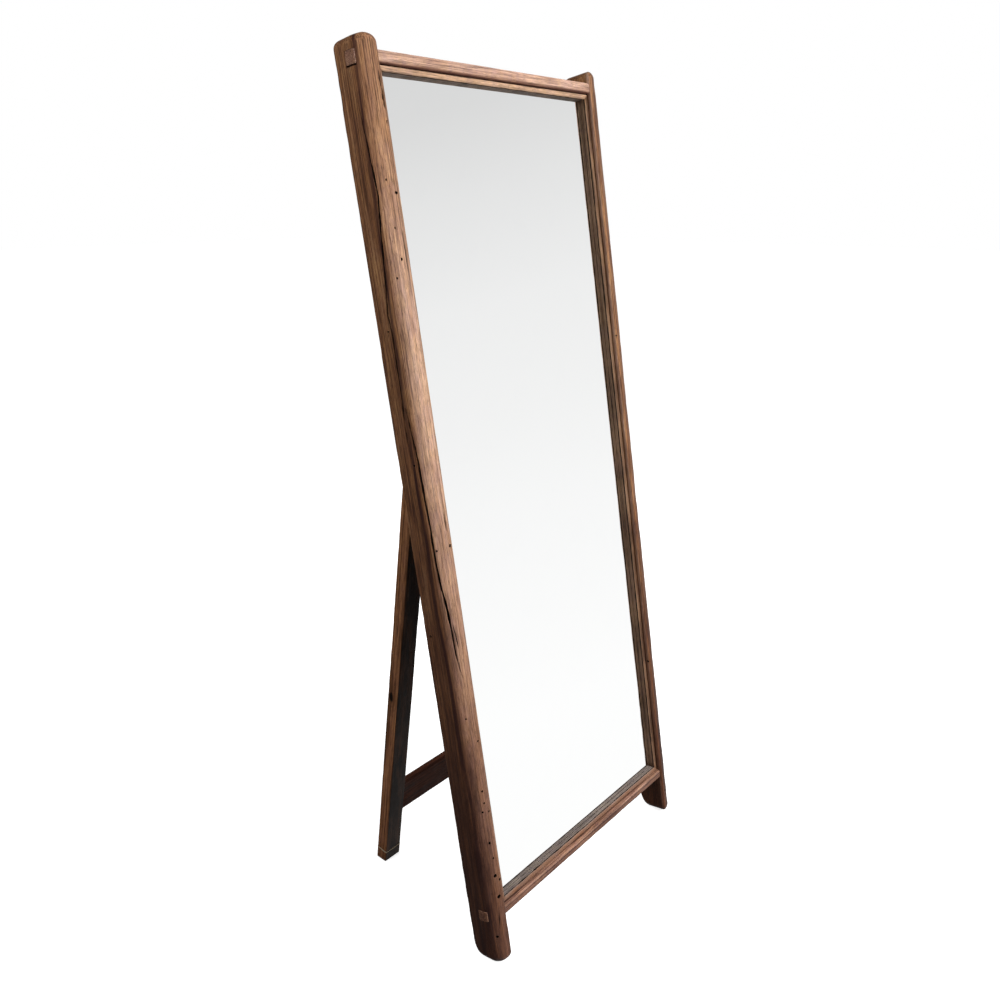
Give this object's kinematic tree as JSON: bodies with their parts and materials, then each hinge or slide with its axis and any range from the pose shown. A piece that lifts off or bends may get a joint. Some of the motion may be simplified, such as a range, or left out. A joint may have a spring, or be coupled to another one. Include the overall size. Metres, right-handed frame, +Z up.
{
  "type": "floor mirror",
  "caption": "Full-length floor mirror in a rustic wood frame that leans back on a fold-out easel with legs joined by a stretcher.",
  "frame": {"origin": "on the floor, under the middle of the whole object as it stands open", "axes": "+Z up, -Y the way the glass faces, +X to the right seen from the front; the glass leans back 10 degrees"},
  "size_m": [0.686, 0.4454, 1.7663],
  "materials": {
    "post_wood": "weathered, waxed",
    "rail_wood": "weathered, waxed",
    "bead_wood": "weathered, waxed",
    "easel_wood": "dark stained",
    "strip_wood": "raw",
    "back_board": "pressed board",
    "mirror_glass": "polished",
    "hinge_steel": "dull",
    "plain_steel": "dull",
    "foot_shim": "matt"
  },
  "bodies": {
    "mirror_frame": {"left_post": "post_wood", "right_post": "post_wood", "top_rail": "rail_wood", "bottom_rail": "rail_wood", "bead_top": "bead_wood", "bead_bottom": "bead_wood", "bead_left": "bead_wood", "bead_right": "bead_wood", "mirror_glass": "mirror_glass", "back_board": "back_board", "strip_top": "strip_wood", "strip_bottom": "strip_wood", "strip_left": "strip_wood", "strip_right": "strip_wood", "strip_brads": "plain_steel", "hinge_rail": "easel_wood", "left_hinge_rail_leaf": "hinge_steel", "right_hinge_rail_leaf": "hinge_steel", "hinge_pins": "plain_steel", "hinge_rail_screws": "plain_steel"},
    "easel": {"left_leg": "easel_wood", "right_leg": "easel_wood", "stretcher": "easel_wood", "left_foot_block": "easel_wood", "right_foot_block": "easel_wood", "left_foot_shim": "foot_shim", "right_foot_shim": "foot_shim", "left_hinge_leg_leaf": "hinge_steel", "right_hinge_leg_leaf": "hinge_steel", "hinge_leg_screws": "plain_steel"}
  },
  "joints": [
    {"name": "easel_fold", "type": "hinge", "parent": "mirror_frame", "child": "easel", "pos_m": [0, 0.01963, 1.16746], "axis": [1, 0, 0], "range_deg": [-18.2, 0]}
  ]
}
